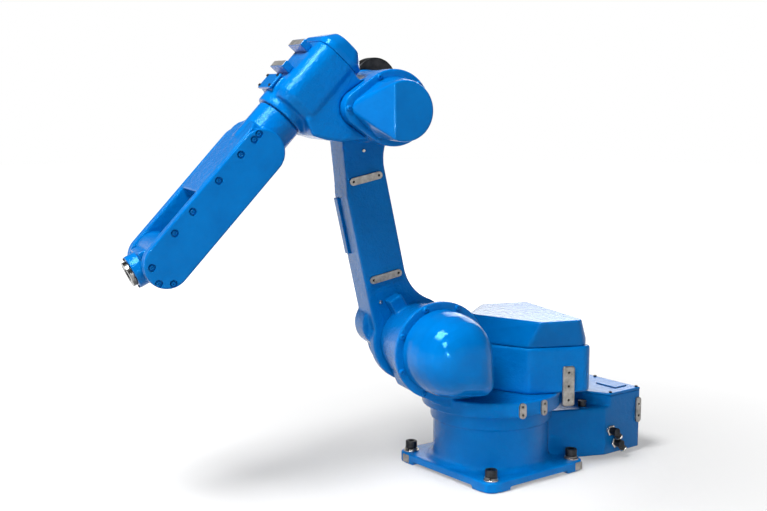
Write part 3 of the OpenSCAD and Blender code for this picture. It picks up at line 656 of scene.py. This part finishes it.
holes = [(22.25 + dx, LINK_FACE, z) for dx in (-18.5, 18.5) for z in (96.0, 231.5)]
set_fasteners("arm_pad_threads", hole_shade, spots_on(in_link, TO_CAMERA_SIDE, holes),
              "lower_arm", black_steel_and_shade)

# Swivel plate. A long bar of milled steel with round corners and three tapped holes, left unpainted and
# screwed upright to the wall of the motor housing.
PLATE_W, PLATE_H, PLATE_THICK, PLATE_CORNER, TAP_R = 17.0, 55.0, 3.0, 3.5, 1.65


def rounded_plate(name, frame_at, width, height, thick, corner, body, finish):
    # a thin plate with round corners and a broken edge, lying in the frame's XY, in millimetres
    def outline(inset, level):
        ring = []
        for i in range(SIDES):
            turn = 2 * math.pi * (i + 0.5) / SIDES
            cx = math.copysign(width / 2 - corner, math.cos(turn))
            cy = math.copysign(height / 2 - corner, math.sin(turn))
            point = (cx + (corner - inset) * math.cos(turn), cy + (corner - inset) * math.sin(turn), level)
            ring.append(frame_at @ (Vector(point) / 1000))
        return ring
    mesh = rings_to_mesh(name, [outline(0, -0.2), outline(0, thick * 0.6), outline(thick * 0.4, thick)])
    mesh.materials.append(finish)
    piece = bpy.data.objects.new(name, mesh)
    scene.collection.objects.link(piece)
    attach(piece, body)
    return piece


lay_on_wall = Matrix(((-1, 0, 0, 0), (0, 0, 1, 0), (0, 1, 0, 0), (0, 0, 0, 1)))
plate_face = on_wall @ Matrix.Translation((0, 0, 0.0275)) @ lay_on_wall
plate = rounded_plate("swivel_plate_bar", plate_face, PLATE_W, PLATE_H, PLATE_THICK, PLATE_CORNER,
                      "swivel", pad_steel)
drill = drill_for("plate_drill", on_wall, [(0, PLATE_THICK, z) for z in plate_holes],
                  TO_CAMERA_SIDE, TAP_R, PLATE_THICK + 1.0)
bore = plate.modifiers.new("holes", "BOOLEAN")
bore.operation, bore.solver, bore.object = "DIFFERENCE", "EXACT", drill
drilled = bpy.data.meshes.new_from_object(plate.evaluated_get(bpy.context.evaluated_depsgraph_get()))
plate.modifiers.clear()
plate.data = drilled
bpy.data.objects.remove(drill)
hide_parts("swivel_plate")

# Locating patches. Two spots on the edges of the foot plate are milled bare, to set the arm against
# stops when it is bolted down.
PATCH_Z, PATCH_THICK, PATCH_CORNER = 0.0072, 0.3, 1.2
on_front = Matrix.Translation((0.090, -0.076, PATCH_Z)) @ Matrix.Rotation(math.radians(90), 4, "Y")
rounded_plate("locating_patch_front", on_front, 11.0, 13.0, PATCH_THICK, PATCH_CORNER,
              "base", pad_steel)
on_side = Matrix.Translation((-0.075, 0.0975, PATCH_Z)) @ Matrix.Rotation(math.radians(-90), 4, "X")
rounded_plate("locating_patch_side", on_side, 13.0, 11.0, PATCH_THICK, PATCH_CORNER,
              "base", pad_steel)

# Connector box lid. A small painted blanking plate lies on the lid over a slightly larger black plate,
# whose rim is painted shade: it stands for the dark seam round the blanking plate. Black socket screws hold
# the lid down.
on_lid = Matrix.Translation((-0.1935, 0.048, 0.094))
# painted shade: a thin black plate whose rim shows as the seam's shadow round the blanking plate
rounded_plate("blanking_gasket", on_lid, 26.0, 39.0, 0.5, 3.0, "base", black_steel_and_shade)
rounded_plate("blanking_plate", on_lid, 24.4, 37.4, 1.4, 2.5, "base", cover_paint)
lid_screw = socket_head("lid_screw", 0.0024, 0.0016, 0.0010, 0.0009, 0.0003)
LID_TOP = 94
spots = [(x, y, LID_TOP) for x, y in (
    (-212, 79), (-157, 79), (-140, 40), (-212, 0), (-212, -79), (-157, -79), (-140, -40))]
set_fasteners("lid_screws", lid_screw, spots_on(still, UP, spots), "base", black_steel_and_shade)

# Link pins. Two ground steel dowel pins are pressed into the near face of the link, and stand out a
# little as marks for the joint's zero.
pin = rings_to_mesh("dowel_pin", [
    circle_ring(0.0024, -0.0004), circle_ring(0.0024, 0.0016), circle_ring(0.0019, 0.0022)])
spots = [(17.4, LINK_FACE, 268.0), (36.5, LINK_FACE, 63.4)]
set_fasteners("link_pins", pin, spots_on(in_link, TO_CAMERA_SIDE, spots), "lower_arm", nickel)

# Nose screws. Six small black steel screws in a ring round the tool flange close the seal ring of the
# wrist's nose.
NOSE_RING_R, NOSE_FACE = 18.4, 42.0
ring = [(NOSE_RING_R * math.cos(math.radians(a)), NOSE_RING_R * math.sin(math.radians(a)), NOSE_FACE)
        for a in range(15, 375, 60)]
set_fasteners("nose_screws", lid_screw, spots_on(in_tool, UP, ring),
              "wrist", black_steel_and_shade, size=0.75)
